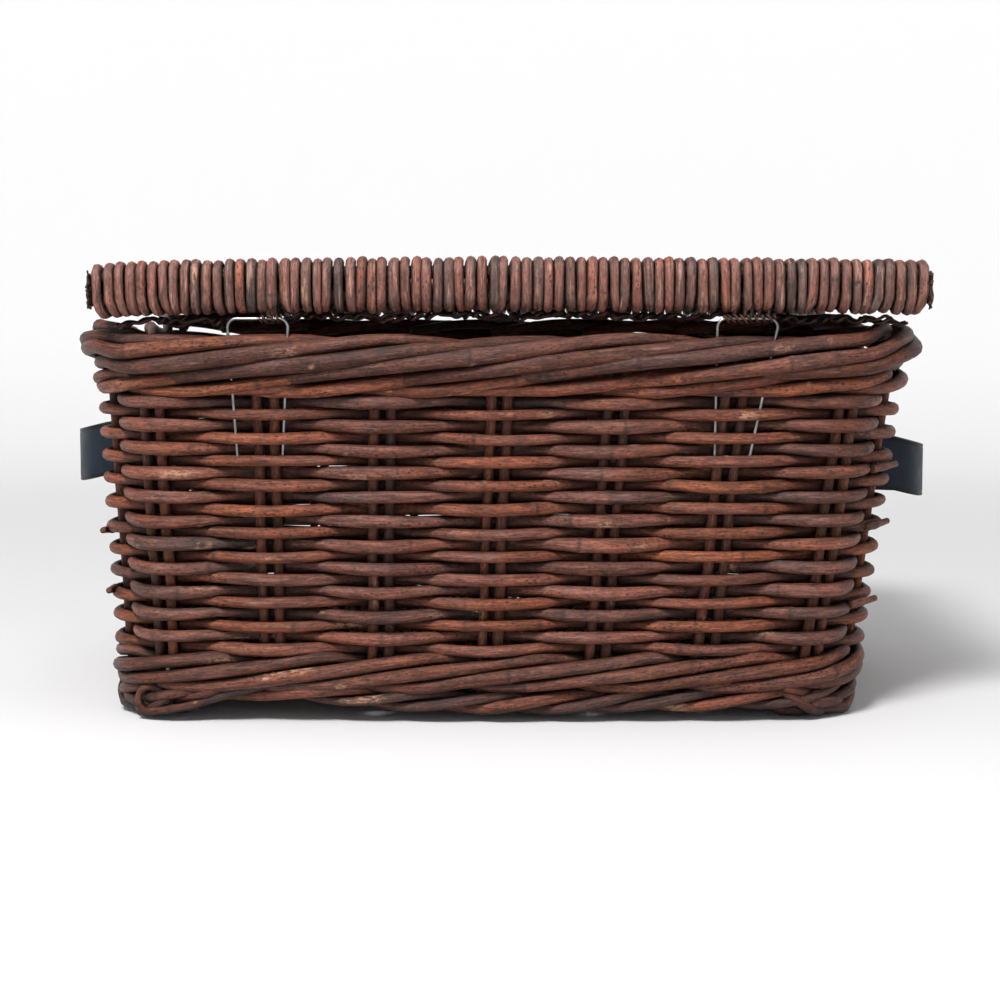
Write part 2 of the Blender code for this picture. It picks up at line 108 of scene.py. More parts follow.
# Hinges and straps
WIRE_RADIUS = 0.0009
WIRE_CORNER = 0.0052
STAPLE_HALF = 0.0188             # half the length of a staple's bar
STAPLE_INSET = {"left": (0.0040, 0.0048), "right": (0.0, 0.0150)}   # how far each leg leans in at its foot
LASHING_TURNS = 5
STRAP_WIDTH, STRAP_THICKNESS = 0.0345, 0.0030
STRAP_DROOP = 0.25

# Bark: its hues from grey to orange, and the colours of what is on it, in 0 to 255 sRGB
HUES = ((0.0, (96, 71, 62)), (0.14, (114, 75, 64)), (0.30, (130, 79, 65)),
        (0.50, (139, 79, 59)), (0.72, (144, 77, 51)), (1.0, (158, 88, 56)))
# Pale dusting on the bark, also used as a painted highlight on the rods' open faces
DUST_AND_HIGHLIGHT = (142, 107, 95)
PIT = (30, 15, 10)
KNUCKLE = (30, 17, 13)
SCAR = (172, 130, 105)
CUT_END = (84, 58, 42)

# Rods: sides of their section, distance between their rings and length of their end caps
SIDES = 10
STEP = 0.0045
END_CAP = 0.0005
UP = np.array([0.0, 0.0, 1.0])
DEPTHWISE = np.array([0.0, 1.0, 0.0])
LENGTHWISE = np.array([1.0, 0.0, 0.0])


# ---- the plan of the walls

def side_points(half, depth):
    """One wall of the plan, from the middle of one corner to the middle of the next, near side."""
    flat = half - CORNER_RADIUS
    arc = CORNER_RADIUS * math.pi / 4
    along = np.linspace(-flat - arc, flat + arc, 400, endpoint=False)
    angle = np.clip(np.abs(along) - flat, 0, None) / CORNER_RADIUS
    x = np.where(angle > 0, np.sign(along) * (flat + CORNER_RADIUS * np.sin(angle)), along)
    y = -(depth - CORNER_RADIUS + CORNER_RADIUS * np.cos(angle))
    return along + flat + arc, x, y


def plan_table():
    """Arc length, place and outward normal round the whole plan, from the near left corner."""
    start = 0.0
    lengths, xs, ys = [], [], []
    for turn in range(4):
        half, depth = (HALF_LENGTH, HALF_WIDTH) if turn % 2 == 0 else (HALF_WIDTH, HALF_LENGTH)
        along, x, y = side_points(half, depth)
        for _ in range(turn):
            x, y = -y, x
        lengths.append(along + start)
        xs.append(x)
        ys.append(y)
        start += 2 * (half - CORNER_RADIUS + CORNER_RADIUS * math.pi / 4)
    x, y = np.concatenate(xs), np.concatenate(ys)
    bowed_x = x * (1 - END_BOW / HALF_LENGTH * (y / HALF_WIDTH) ** 2)
    bowed_y = y * (1 - LONG_BOW / HALF_WIDTH * (x / HALF_LENGTH) ** 2)
    along_x = np.roll(bowed_x, -1) - np.roll(bowed_x, 1)
    along_y = np.roll(bowed_y, -1) - np.roll(bowed_y, 1)
    size = np.hypot(along_x, along_y)
    return np.concatenate(lengths), bowed_x, bowed_y, along_y / size, -along_x / size, start


PLAN_S, PLAN_X, PLAN_Y, PLAN_NX, PLAN_NY, AROUND = plan_table()
LONG_SIDE = 2 * (HALF_LENGTH - CORNER_RADIUS + CORNER_RADIUS * math.pi / 4)
END_SIDE = 2 * (HALF_WIDTH - CORNER_RADIUS + CORNER_RADIUS * math.pi / 4)


def wall(s, z, outwards):
    """Points on the leaning wall, at a length round the plan, a height and a distance outwards."""
    s, z, outwards = np.broadcast_arrays(s, z, outwards)
    x, y, nx, ny = (np.interp(s, PLAN_S, table, period=AROUND)
                    for table in (PLAN_X, PLAN_Y, PLAN_NX, PLAN_NY))
    wide = 1 + LEAN * z / HALF_LENGTH
    deep = 1 + LEAN * z / HALF_WIDTH
    nx, ny = nx / wide, ny / deep
    size = np.hypot(nx, ny)
    raised = z * (1 + FAR_RISE / RIM_TOP * np.clip((1 + y / HALF_WIDTH) / 2, 0, 1))
    return np.stack([x * wide + SWAY * (z - RIM_TOP) + outwards * nx / size,
                     y * deep + outwards * ny / size, raised], axis=-1)


def pair_lengths():
    """Length round the plan of each pair of stakes, near side first."""
    places, start = [], 0.0
    for side in range(4):
        count, spacing, length = ((LONG_PAIRS, LONG_SPACING, LONG_SIDE) if side % 2 == 0
                                  else (END_PAIRS, END_SPACING, END_SIDE))
        places += [start + length / 2 + (i - (count - 1) / 2) * spacing for i in range(count)]
        start += length
    return np.array(places)


PAIR_S = pair_lengths()
PAIRS = len(PAIR_S)
PAIR_TABLE = np.concatenate([PAIR_S + AROUND * lap for lap in range(-2, 4)])
PAIR_INDEX = np.arange(len(PAIR_TABLE)) - 2 * PAIRS


def length_at(pair):
    """Length round the plan at a pair number, which may fall between two pairs."""
    return np.interp(pair, PAIR_INDEX, PAIR_TABLE)


def between(low, high, count=None):
    """Random numbers, evenly spread."""
    return RANDOM.uniform(low, high, count)


def smooth(value, low, high):
    """Rises from 0 at low to 1 at high, level at both."""
    t = np.clip((value - low) / (high - low), 0, 1)
    return t * t * (3 - 2 * t)


def waver(s, amount, wavelength):
    """A slow random drift along a rod."""
    phases = between(0, 2 * math.pi, 3)
    total = 0
    for rate, weight, phase in zip((1.0, 1.9, 3.3), (0.6, 0.3, 0.15), phases):
        total = total + weight * np.sin(2 * math.pi * rate * s / wavelength + phase)
    return amount * total


# ---- rods

class Bundle:
    """Rods gathered into one mesh, with what the bark needs stored on every point."""

    def __init__(self):
        self.points, self.quads, self.fans = [], [], []
        self.bark, self.marks = [], []
        self.count = 0

    def knuckles(self, length, every):
        """Places of the knuckles along a rod, about so far apart."""
        places, at = [], between(0.3, 1.0) * every
        while at < length - 0.008:
            places.append(at)
            at += between(0.55, 1.6) * every
        return np.array(places)

    def stations(self, length, knuckles, step):
        """Places of the rings along a rod, closer together at the knuckles."""
        plain = np.linspace(0, length, max(3, int(round(length / step)) + 1))
        extra = [k + offset for k in knuckles for offset in (-0.0032, -0.0012, 0, 0.0012, 0.0032)]
        places = np.sort(np.concatenate([plain, np.array(extra)]))
        places = places[(places >= 0) & (places <= length)]
        keep = np.concatenate([[True], np.diff(places) > 0.0004])
        places = places[keep]
        places[-1] = length
        return places

    def rod(self, route, look, radius, up=UP, sides=SIDES, step=STEP, every=0.075, taper=0.0,
            bump=0.11, rough=0.035, swell_by=None):
        """One rod along a dense route. look is its tone, dark to light, and its warmth, grey to orange.
        swell_by gives the thickness along the route, where it isn't the same all the way."""
        tone, warm = look
        gaps = np.linalg.norm(np.diff(route, axis=0), axis=1)
        lengths = np.concatenate([[0], np.cumsum(gaps)])
        length = lengths[-1]
        knuckles = self.knuckles(length, every)
        s = self.stations(length, knuckles, step)
        path = np.stack([np.interp(s, lengths, route[:, axis]) for axis in range(3)], axis=1)
        turns = 2 * math.pi * np.arange(sides) / sides
        swell, ring, scar = self.features(s, length, knuckles, turns)
        width = radius * (1 + taper * (0.5 - s / length) + bump * swell + waver(s, rough, 0.11))
        if swell_by is not None:
            width = width * np.interp(s, lengths, swell_by)
        tangent = np.gradient(path, axis=0)
        tangent /= np.linalg.norm(tangent, axis=1)[:, None]
        path = np.concatenate([[path[0] - END_CAP * tangent[0]], path, [path[-1] + END_CAP * tangent[-1]]])
        tangent = np.concatenate([tangent[:1], tangent, tangent[-1:]])
        width = np.concatenate([[0.72 * width[0]], width, [0.72 * width[-1]]])
        s = np.concatenate([[-END_CAP], s, [length + END_CAP]])
        ring = np.concatenate([[0], ring, [0]])
        scar = np.concatenate([[np.zeros(sides)], scar, [np.zeros(sides)]])
        across = np.cross(tangent, up)
        across /= np.linalg.norm(across, axis=1)[:, None]
        over = np.cross(across, tangent)
        oval = 1 + 0.05 * np.sin(2 * turns[None, :] + between(0, 6) + s[:, None] * 25)
        reach = (width[:, None] * oval)[:, :, None]
        circle = (np.cos(turns)[None, :, None] * across[:, None, :]
                  + np.sin(turns)[None, :, None] * over[:, None, :])
        points = (path[:, None, :] + reach * circle).reshape(-1, 3)
        self.add_grid(points, path, len(s), sides)
        segment = np.searchsorted(knuckles, s)
        tones = np.clip(tone + RANDOM.normal(0, 0.10, len(knuckles) + 1), 0, 1)[segment][:, None]
        warms = np.clip(warm + RANDOM.normal(0, 0.07, len(knuckles) + 1), 0, 1)[segment][:, None]
        start = between(0, 20)
        around = np.ones((len(s), sides))
        bark = np.stack([(s + start)[:, None] * around, radius * np.cos(turns) * around,
                         radius * np.sin(turns) * around], axis=-1)
        cut = np.zeros((len(s), sides))
        cut[0] = cut[-1] = 1
        marks = np.stack([tones * around, warms * around, ring[:, None] * around,
                          np.clip(scar, 0, 1), cut], axis=-1)
        caps = np.array([[tone, warm, 0, 0, 1]] * 2)
        self.bark += [bark.reshape(-1, 3), np.array([[s[0] + start, 0, 0], [s[-1] + start, 0, 0]])]
        self.marks += [marks.reshape(-1, 5), caps]

    def features(self, s, length, knuckles, turns):
        """The swelling and dark ring at each knuckle, and pale scars there and in between."""
        swell = np.zeros_like(s)
        ring = np.zeros_like(s)
        scar = np.zeros((len(s), len(turns)))
        for place in knuckles:
            strength = between(0.3, 1.0)
            swell += strength * np.exp(-((s - place) / 0.0028) ** 2)
            ring += strength * np.exp(-((s - place) / 0.0017) ** 2)
            facing = np.clip(np.cos(turns - between(0, 2 * math.pi)), 0, 1) ** 5
            fade = np.exp(-((s - place - 0.0012) / 0.0022) ** 2)[:, None]
            scar += between(0, 0.6) * fade * facing
        for _ in range(int(length / 0.13 + between(0, 1))):
            place, reach = between(0, length), between(0.004, 0.014)
            facing = np.clip(np.cos(turns - between(0, 2 * math.pi)), 0, 1) ** 3
            fade = np.exp(-((s - place) / reach) ** 2)[:, None]
            scar += between(0.2, 0.9) * fade * facing
        return swell, ring, scar

    def add_grid(self, points, path, rings, sides):
        """Quads between the rings, and a fan of triangles over each end."""
        first = self.count
        row = np.arange(rings - 1)[:, None] * sides
        col = np.arange(sides)[None, :]
        after = (col + 1) % sides
        quads = np.stack([row + col, row + sides + col, row + sides + after, row + after], axis=-1)
        self.quads.append(first + quads.reshape(-1, 4))
        head, tail = first + rings * sides, first + rings * sides + 1
        last = first + (rings - 1) * sides
        col, after = col[0], after[0]
        self.fans.append(np.stack([np.full(sides, head), first + col, first + after], axis=-1))
        self.fans.append(np.stack([np.full(sides, tail), last + after, last + col], axis=-1))
        self.points += [points, path[:1], path[-1:]]
        self.count = first + rings * sides + 2

    def build(self, name, body, material, slot, *nodes):
        """The rods so far become one piece."""
        faces = np.concatenate(self.quads).tolist() + np.concatenate(self.fans).tolist()
        mesh = smooth_mesh(name, np.concatenate(self.points).tolist(), faces)
        bark = mesh.attributes.new("bark", "FLOAT_VECTOR", "POINT")
        bark.data.foreach_set("vector", np.concatenate(self.bark).astype(np.float32).ravel())
        marks = np.concatenate(self.marks)
        for column, label in enumerate(("tone", "warm", "ring", "scar", "cut")):
            layer = mesh.attributes.new(label, "FLOAT", "POINT")
            layer.data.foreach_set("value", marks[:, column].astype(np.float32).copy())
        mesh.materials.append(material)
        place(mesh, body, slot, *nodes)


def smooth_mesh(name, points, faces):
    mesh = bpy.data.meshes.new(name)
    mesh.from_pydata(points, [], faces)
    mesh.polygons.foreach_set("use_smooth", [True] * len(mesh.polygons))
    return mesh


def place(mesh, body, slot, *nodes):
    """A finished mesh becomes a piece that rides on its body and stands for its CAD nodes."""
    piece = bpy.data.objects.new(mesh.name, mesh)
    bpy.context.scene.collection.objects.link(piece)
    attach(piece, body)
    if nodes:
        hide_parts(*nodes)


def colours(warm, spread, tone=0.5, tone_spread=0.16, grey=0.06):
    """Random tone and warmth for one rod; a few rods are grey."""
    if between(0, 1) < grey:
        return between(0.1, 0.4), between(0.0, 0.10)
    return (float(np.clip(RANDOM.normal(tone, tone_spread), 0.05, 1)),
            float(np.clip(RANDOM.normal(warm, spread), 0.12, 1)))


# ---- materials

def linear(red, green, blue):
    """A colour given in 0 to 255 sRGB, as the shader's linear values."""
    values = [c / 255 for c in (red, green, blue)]
    return tuple(v / 12.92 if v <= 0.04045 else ((v + 0.055) / 1.055) ** 2.4 for v in values) + (1.0,)


class Shader:
    """A small helper for building a node material."""

    def __init__(self, name):
        self.material = bpy.data.materials.new(name)
        self.material.use_nodes = True
        self.nodes = self.material.node_tree.nodes
        self.links = self.material.node_tree.links
        self.surface = self.nodes["Principled BSDF"]

    def add(self, kind, inputs=None, **settings):
        node = self.nodes.new(kind)
        for key, value in settings.items():
            setattr(node, key, value)
        for key, value in (inputs or {}).items():
            self.feed(node.inputs[key], value)
        return node

    def feed(self, socket, value):
        """Link a socket to another node's output, or set it to a plain value."""
        if isinstance(value, bpy.types.NodeSocket):
            self.links.new(value, socket)
        else:
            socket.default_value = value

    def attribute(self, name, output="Fac"):
        return self.add("ShaderNodeAttribute", attribute_name=name).outputs[output]

    def maths(self, operation, first, second=0.0, third=0.0):
        inputs = {0: first, 1: second}
        if operation == "MULTIPLY_ADD":
            inputs[2] = third
        return self.add("ShaderNodeMath", inputs, operation=operation).outputs[0]

    def scaled(self, vector, scale):
        return self.add("ShaderNodeVectorMath", {0: vector, 1: scale}, operation="MULTIPLY").outputs[0]

    def noise(self, vector, scale, detail=3.0, roughness=0.55):
        inputs = {"Vector": self.scaled(vector, scale), "Scale": 1.0, "Detail": detail,
                  "Roughness": roughness}
        return self.add("ShaderNodeTexNoise", inputs).outputs["Fac"]

    def spread(self, value, low, high, to_low=0.0, to_high=1.0):
        inputs = {"Value": value, "From Min": low, "From Max": high, "To Min": to_low, "To Max": to_high}
        return self.add("ShaderNodeMapRange", inputs).outputs[0]

    def mix(self, factor, first, second, blend="MIX"):
        node = self.add("ShaderNodeMix", data_type="RGBA", blend_type=blend)
        for index, value in ((0, factor), (6, first), (7, second)):
            self.feed(node.inputs[index], value)
        return node.outputs[2]

    def ramp(self, value, stops):
        node = self.add("ShaderNodeValToRGB", {"Fac": value})
        elements = node.color_ramp.elements
        while len(elements) < len(stops):
            elements.new(0.5)
        for element, (position, colour) in zip(elements, stops):
            element.position = position
            element.color = colour
        return node.outputs["Color"]

    def finish(self, colour, roughness, height=None, distance=0.0003, strength=0.6):
        self.feed(self.surface.inputs["Base Color"], colour)
        self.feed(self.surface.inputs["Roughness"], roughness)
        if height is not None:
            bump = self.add("ShaderNodeBump",
                            {"Height": height, "Distance": distance, "Strength": strength})
            self.links.new(bump.outputs["Normal"], self.surface.inputs["Normal"])
        return self.material


def bark_material(name, gain=1.0, dust_and_highlight_amount=1.0, gloss=0.28):
    """Boiled willow bark: streaks along the rod, pale dusting that is also a painted highlight, pits,
    knuckle rings and pale scars, with painted shade darkening the crevices between rods.
    """
    s = Shader(name)
    bark = s.attribute("bark", "Vector")
    tone, warm, ring, scar, cut = (s.attribute(label) for label in ("tone", "warm", "ring", "scar", "cut"))
    streak = s.noise(bark, (45, 760, 760), 5.0, 0.7)
    fine = s.noise(bark, (380, 950, 950), 4.0, 0.75)
    patch = s.noise(bark, (18, 150, 150), 3.0, 0.6)
    blotch = s.noise(bark, (75, 330, 330), 4.0, 0.75)
    speck = s.add("ShaderNodeTexVoronoi", {"Vector": s.scaled(bark, (300, 520, 520)), "Scale": 1.0})
    hue = s.maths("MULTIPLY_ADD", s.spread(patch, 0.3, 0.7, -0.20, 0.20), 1.0, warm)
    colour = s.ramp(hue, [(position, linear(*rgb)) for position, rgb in HUES])
    shade = s.maths("MULTIPLY_ADD", tone, 0.66 * gain, 0.24 * gain)
    shade = s.maths("MULTIPLY", shade, s.spread(streak, 0.36, 0.64, 0.50, 1.44))
    shade = s.maths("MULTIPLY", shade, s.spread(fine, 0.36, 0.64, 0.58, 1.36))
    shade = s.maths("MULTIPLY", shade, s.spread(blotch, 0.38, 0.54, 0.48, 1.0))
    # Painted shade: the colour darkens where rods crowd each other in the crevices, and lifts a little on
    # open surfaces
    painted_crevice_shade = s.add("ShaderNodeAmbientOcclusion", {"Distance": 0.014}, samples=4).outputs["AO"]
    shade = s.maths("MULTIPLY", shade, s.spread(painted_crevice_shade, 0.22, 0.86, 0.14, 1.08))
    grey = s.add("ShaderNodeCombineColor", {"Red": shade, "Green": shade, "Blue": shade}).outputs[0]
    colour = s.mix(1.0, colour, grey, "MULTIPLY")
    # Pale patches: partly real dusting, partly a painted highlight, kept out of the crevices so open
    # surfaces read lighter
    dust_and_highlight = s.spread(s.noise(bark, (45, 420, 420), 4.0, 0.75), 0.56, 0.76, 0.0, 0.6)
    dust_and_highlight = s.maths("MULTIPLY", dust_and_highlight, s.spread(painted_crevice_shade, 0.45, 0.85))
    dust_and_highlight = s.maths("MULTIPLY", dust_and_highlight, dust_and_highlight_amount)
    colour = s.mix(dust_and_highlight, colour, linear(*[part * gain for part in DUST_AND_HIGHLIGHT]))
    pits = s.spread(speck.outputs["Distance"], 0.14, 0.42, 0.85, 0.0)
    colour = s.mix(s.maths("MULTIPLY", pits, s.spread(patch, 0.49, 0.60)), colour, linear(*PIT))
    broken = s.maths("MULTIPLY", ring, s.spread(fine, 0.35, 0.6))
    colour = s.mix(s.spread(broken, 0.15, 0.7, 0.0, 0.85), colour, linear(*KNUCKLE))
    crackle = s.noise(bark, (210, 620, 620), 5.0, 0.8)
    worn = s.maths("MULTIPLY", scar, s.spread(crackle, 0.42, 0.60))
    colour = s.mix(s.spread(worn, 0.10, 0.50, 0.0, 0.8), colour, linear(*SCAR))
    colour = s.mix(s.maths("MULTIPLY", cut, 0.8), colour, linear(*CUT_END))
    rough = s.spread(patch, 0.3, 0.7, 0.42, 0.60)
    height = s.maths("MULTIPLY_ADD", fine, 0.5, streak)
    height = s.maths("MULTIPLY_ADD", pits, -0.4, height)
    s.surface.inputs["Specular IOR Level"].default_value = gloss
    return s.finish(colour, rough, height, 0.0008, 0.9)


def steel_material():
    s = Shader("galvanised_wire")
    place_on = s.add("ShaderNodeTexCoord").outputs["Object"]
    grain = s.noise(place_on, (900, 900, 900), 3.0)
    bloom = s.noise(place_on, (120, 120, 120), 2.0)
    colour = s.mix(s.spread(bloom, 0.35, 0.7), (0.27, 0.27, 0.265, 1), (0.14, 0.138, 0.135, 1))
    s.surface.inputs["Metallic"].default_value = 1.0
    return s.finish(colour, s.spread(grain, 0.3, 0.7, 0.26, 0.42), grain, 0.0001, 0.3)


def leather_material():
    s = Shader("navy_leather")
    place_on = s.add("ShaderNodeTexCoord").outputs["Object"]
    cells = s.add("ShaderNodeTexVoronoi", {"Vector": s.scaled(place_on, (1500, 1500, 1500)), "Scale": 1.0},
                  feature="DISTANCE_TO_EDGE")
    grain = s.spread(cells.outputs["Distance"], 0.0, 0.35)
    tone = s.noise(place_on, (90, 90, 90), 3.0)
    colour = s.mix(s.spread(tone, 0.3, 0.7), linear(15, 24, 34), linear(23, 35, 46))
    edge = s.attribute("edge")
    colour = s.mix(edge, colour, linear(5, 6, 8))
    rough = s.spread(tone, 0.3, 0.7, 0.42, 0.58)
    s.surface.inputs["Specular IOR Level"].default_value = 0.18
    return s.finish(colour, rough, grain, 0.00012, 0.35)


BARK = bark_material("willow_bark")
DARK_BARK = bark_material("willow_dark", 0.62)
# The lid's copy carries more dusting and painted highlight
LID_BARK = bark_material("willow_lid", 1.33, 1.8, 0.5)
STEEL = steel_material()
LEATHER = leather_material()


# ---- walls of the basket

def stake_pairs():
    """Two uprights side by side, which run from the foot border into the rim."""
    foot, head = 0.017, 0.2225
    z = np.linspace(foot, head, 60)
    for number, middle in enumerate(PAIR_S, start=1):
        bundle = Bundle()
        for sign in (-1, 1):
            s = middle + sign * STAKE_SPREAD + waver(z, 0.0005, 0.12) + RANDOM.normal(0, 0.0003)
            route = wall(s, z, waver(z, 0.0004, 0.15))
            bundle.rod(route, colours(0.78, 0.12, 0.55, 0.12, 0.03), STAKE_RADIUS * between(0.92, 1.08),
                       up=np.array([0.6, 0.8, 0]), every=0.06)
        bundle.build(f"stake_pair_{number:02d}", "basket", BARK, "willow_stake", f"stake_{number:02d}")


def weaver_rows():
    """Randing: each row passes in front of one pair of stakes and behind the next."""
    walls = [f"side_weave_{side}" for side in ("front", "right", "back", "left")]
    for row in range(ROWS):
        bundle = Bundle()
        breaks = row_breaks(row)
        for start, end in zip(breaks, breaks[1:]):
            weaver(bundle, row, start - WEAVER_OVERLAP, end + WEAVER_OVERLAP)
        bundle.build(f"weaver_row_{row + 1:02d}", "basket", BARK, "willow_weave", *walls)


def row_breaks(row):
    """Pair numbers where one weaver ends and the next begins, always behind a pair."""
    first = row % 2 + 2 * int(RANDOM.integers(0, 3))
    breaks = [first]
    while breaks[-1] < first + PAIRS:
        breaks.append(breaks[-1] + 2 * int(RANDOM.integers(2, 5)))
    breaks[-1] = first + PAIRS
    if breaks[-1] - breaks[-2] < 4:
        breaks.pop(-2)
    return breaks


def weaver(bundle, row, start, end):
    """One rod of a row, between two pair numbers, with its ends tucked inside."""
    pair = np.linspace(start, end, int((end - start) * 60))
    s = length_at(pair)
    thick = row % 2 == 1
    swing = -np.cos(math.pi * (pair + row))
    outwards = WEAVE_DEPTH * swing
    tuck = 1 - smooth(pair, start, start + 0.45) + smooth(pair, end - 0.45, end)
    outwards = outwards - TUCK * tuck
    z = ROW_BOTTOM + row * ROW_PITCH + waver(s, 0.00075, 0.26) + 0.0014 * tuck * (1 if row % 2 else -1)
    z = z - between(-0.0004, 0.0011) * np.abs(swing)
    look = colours(0.36 if thick else 0.60, 0.12, 0.55 if thick else 0.50, 0.13, 0.03)
    radius = WEAVER_RADIUS * between(0.93, 1.10)
    swell_by = 1 + (THICK_SWELL if thick else THIN_SWELL) * between(0.7, 1.2) * np.abs(swing) ** 1.3
    route = wall(s, z, outwards)
    closer = 1 + 0.11 * smooth(route[:, 1], 0.04, 0.12)
    bundle.rod(route, look, radius, taper=between(-0.08, 0.08), swell_by=swell_by * closer)


def wale(name, node, strands, middle, rise, radius, warm, bright):
    """Rods that take turns: each passes in front of all pairs but one, rising, then dips behind."""
    bundle = Bundle()
    front = strands - 1
    steps = [0.0, 0.4, front / 2, front - 0.5, front, front + 0.5, strands]
    outs = [0.62, 0.98, 1.22, 0.55, -1.0, -0.45, 0.62]
    lifts = [-0.46, -0.44, 0.04, 0.50, 0.22, -0.20, -0.46]
    for strand in range(strands):
        start = strand + front
        cuts = [start + part for part in (0, 2 * strands, 4 * strands, PAIRS)]
        for a, b in zip(cuts, cuts[1:]):
            pair = np.linspace(a - 0.35, b + 0.35, int((b - a) * 60))
            v = np.mod(pair - strand, strands)
            out = rounded(np.interp(v, steps, outs), 12)
            lift = rounded(np.interp(v, steps, lifts), 12)
            s = length_at(pair)
            z = middle + rise * lift + waver(s, 0.0007, 0.2)
            shape = 0.86 + 0.20 * np.sin(math.pi * np.clip((v + 0.3) / (front + 0.6), 0, 1))
            route = wall(s, z, WALE_DEPTH * out)
            bundle.rod(route, colours(warm, 0.12, bright, 0.11, 0.03), radius * between(0.94, 1.07),
                       every=0.09, swell_by=shape)
    bundle.build(name, "basket", BARK, "willow_border", node)


# ---- rim and foot

def corner_lift(points, amount):
    """Raises rods near the corners, except over the strip that the open lid passes."""
    x, y = np.abs(points[:, 0]), points[:, 1]
    near_corner = smooth(x, 0.165, 0.235)
    clear = smooth(y, RIM_CLEAR_Y, RIM_CLEAR_Y + 0.022)
    points[:, 2] += amount * near_corner * clear * smooth(np.abs(y), 0.02, 0.12)
    return points


def rim_border():
    """Each pair of stakes turns down into a rod that runs over three spaces, rising as it goes."""
    bundle = Bundle()
    for first in range(PAIRS):
        v = np.linspace(-0.6, 4.1, 280)
        s = length_at(first + v)
        rise = np.interp(v, [-0.6, 0.0, 0.5, 1.5, 2.4, 3.0, 3.5, 4.1],
                         [0.2105, 0.2120, 0.2155, 0.2228, 0.2298, 0.2334, 0.2325, 0.2270])
        out = np.interp(v, [-0.6, -0.1, 0.4, 1.0, 1.7, 2.5, 3.0, 3.4, 4.1],
                        [-0.004, 0.002, 0.0105, 0.0142, 0.0152, 0.0122, 0.0070, 0.0000, -0.0075])
        shape = np.interp(v, [-0.6, 0.2, 1.2, 2.4, 3.2, 4.1], [0.85, 0.92, 1.08, 1.06, 0.95, 0.80])
        arch = between(-0.0030, 0.0020) * np.sin(math.pi * np.clip(v, 0, 3) / 3)
        tilt = between(-0.0028, 0.0018) * (1 - v / 3)
        route = wall(s, rounded(rise, 16) + arch + tilt + waver(s, 0.0010, 0.25),
                     rounded(out, 16) + waver(s, 0.0008, 0.2))
        route = corner_lift(route, between(0.004, 0.007))
        bundle.rod(route, colours(0.52, 0.13, 0.25, 0.17, 0.03), RIM_RADIUS * between(0.92, 1.06),
                   sides=12, every=0.085, swell_by=rounded(shape, 16))
    bundle.build("rim_border_rods", "basket", BARK, "willow_border", "rim_border")


def rounded(values, reach):
    """A running average that takes the corners off a profile."""
    padded = np.concatenate([np.full(reach, values[0]), values, np.full(reach, values[-1])])
    kernel = np.hanning(2 * reach + 1)
    return np.convolve(padded, kernel / kernel.sum(), mode="valid")


def foot_border():
    """A rope of three thin rods under the bottom wale."""
    bundle = Bundle()
    for strand in range(3):
        cuts = [strand, strand + 8, strand + 16, strand + 24]
        for a, b in zip(cuts, cuts[1:]):
            pair = np.linspace(a - 0.2, b + 0.3, int((b - a) * 60))
            s = length_at(pair)
            turn = 2 * math.pi * (pair / 2.0 + strand / 3)
            z = 0.0150 + 0.0042 * np.sin(turn) + waver(s, 0.0006, 0.3)
            route = wall(s, z, 0.0020 + 0.0052 * np.cos(turn))
            route[:, 2] += foot_hollow(route)
            bundle.rod(route, colours(0.50, 0.14, 0.50, 0.12, 0.05), FOOT_RADIUS * between(0.9, 1.08),
                       every=0.07)
    bundle.build("foot_border_rods", "basket", DARK_BARK, "willow_border", "foot_border")


def foot_hollow(route):
    """The near edge isn't quite straight: it lifts a little left of the middle and sags at the middle."""
    near = smooth(-route[:, 1], 0.08, 0.14)
    lifted = 0.0055 * np.exp(-((route[:, 0] + 0.142) / 0.045) ** 2)
    sagging = -0.0026 * np.exp(-((route[:, 0] - 0.03) / 0.09) ** 2)
    return near * (lifted + sagging)


def foot_knots():
    """Under each corner four short rods are twisted into a foot, and the first lies on the floor."""
    above_floor = (0.0, 0.0052, 0.0016, 0.0085)
    corners = [LONG_SIDE, LONG_SIDE + END_SIDE, 2 * LONG_SIDE + END_SIDE, 0.0]
    for number, corner in enumerate(corners, start=1):
        bundle = Bundle()
        for strand in range(4):
            reach = between(0.040, 0.062)
            t = np.linspace(-1, 1, 160)
            shift = (strand - 1.5) * 0.007
            s = corner + t * reach + shift
            dip = np.cos(t * math.pi / 2) ** 1.3
            radius = between(0.0032, 0.0040)
            low = radius + 0.0004 + above_floor[strand]
            high = 0.0215
            z = high - (high - low) * np.clip(dip * 1.35, 0, 1)
            twist = math.pi * (t * 1.1 + strand * 0.55)
            out = 0.0015 + 0.0062 * np.sin(twist)
            route = wall(s, z + 0.0012 * (1 + np.cos(twist)), out)
            if strand == 0:
                route[:, 2] -= (route[:, 2].min() - 1.16 * radius) * dip
            bundle.rod(route, colours(0.50, 0.14, 0.40, 0.12, 0.1), radius, every=0.05, bump=0.18)
        if number == 4:
            hanging_loop(bundle)
        bundle.build(f"foot_knot_{number}", "basket", DARK_BARK, "willow_border", f"corner_foot_{number}")


def hanging_loop(bundle):
    """The end of one rod curls back on itself outside the near left foot, over two thin ones."""
    middle = wall(0.012, 0.0125, 0.009)
    turn = np.linspace(-0.6, 1.5 * math.pi + 0.4, 90)
    route = middle + np.stack([0.0088 * np.cos(turn) - 0.001, 0.003 * np.sin(turn * 0.5),
                               0.0082 * np.sin(turn)], axis=1)
    bundle.rod(route, (0.5, 0.5), 0.0021, up=DEPTHWISE, sides=9, step=0.0015, every=0.012, bump=0.2)
    for rise, reach, tone in ((0.0035, 0.052, 0.25), (0.0060, 0.070, 0.35)):
        s = np.linspace(0.004, reach, 60)
        t = (s - s[0]) / (s[-1] - s[0])
        z = 0.0045 + rise * 3.2 * t ** 1.4
        bundle.rod(wall(s, z, 0.0115 - 0.008 * t), (tone, 0.5), 0.0024, every=0.02, bump=0.2)


